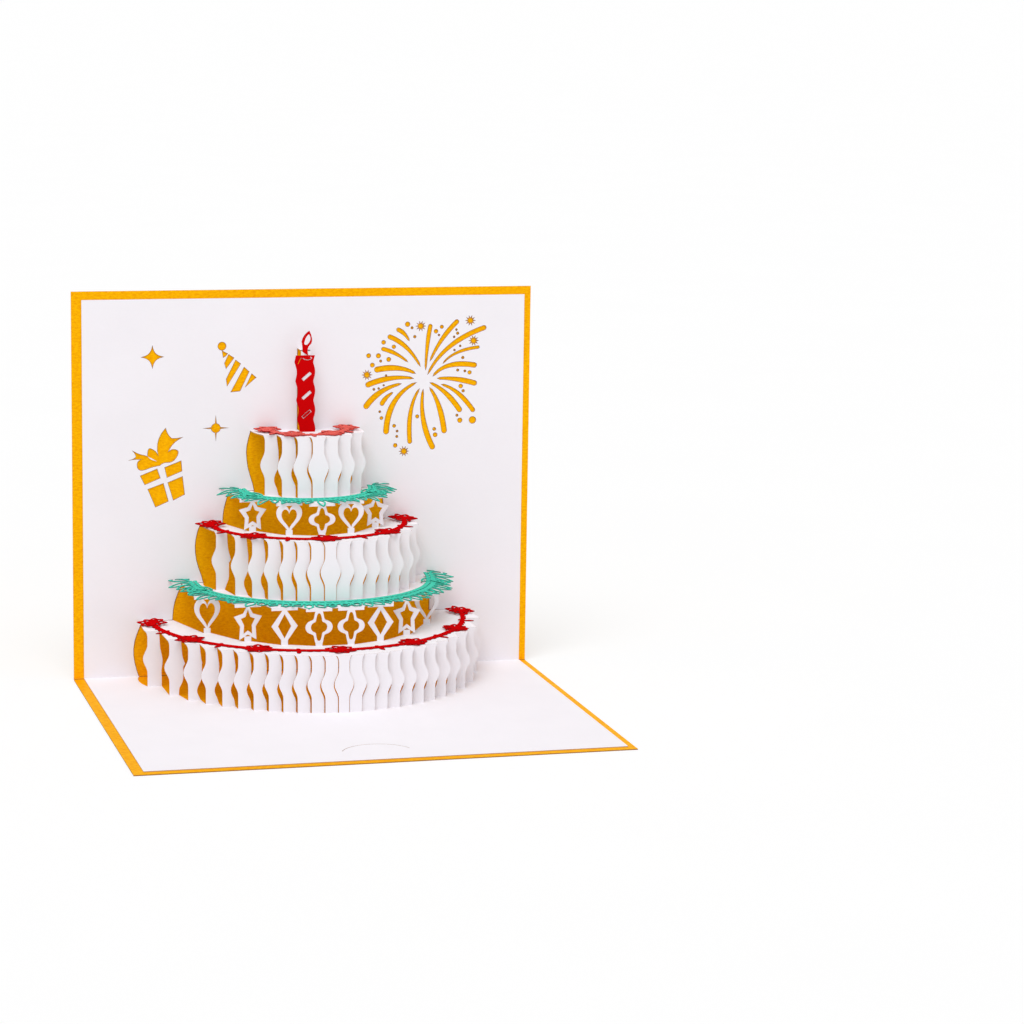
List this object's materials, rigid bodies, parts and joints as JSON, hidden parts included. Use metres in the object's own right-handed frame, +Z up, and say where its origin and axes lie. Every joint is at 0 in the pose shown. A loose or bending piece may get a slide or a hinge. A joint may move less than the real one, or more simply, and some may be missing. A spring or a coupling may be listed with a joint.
{
  "type": "pop up card",
  "caption": "Folded greeting card that opens to a right angle and raises a layered paper cake with a candle.",
  "frame": {"origin": "under the middle of the open card, on the surface that its base leaf lies on", "axes": "+X along the fold to the right, +Y towards the standing back leaf, +Z up"},
  "size_m": [0.18, 0.15, 0.15],
  "materials": {
    "cover_card": "pearlescent orange card with a fine grain",
    "white_paper": "smooth matt white paper",
    "red_paper": "matt red paper",
    "turquoise_paper": "matt turquoise paper"
  },
  "bodies": {
    "root": {"cover": "cover_card", "pop_up_sheet": "white_paper", "candle": "red_paper", "lower_garland": "red_paper", "middle_garland": "red_paper", "upper_garland": "red_paper", "lower_lace": "turquoise_paper", "upper_lace": "turquoise_paper"}
  },
  "joints": []
}
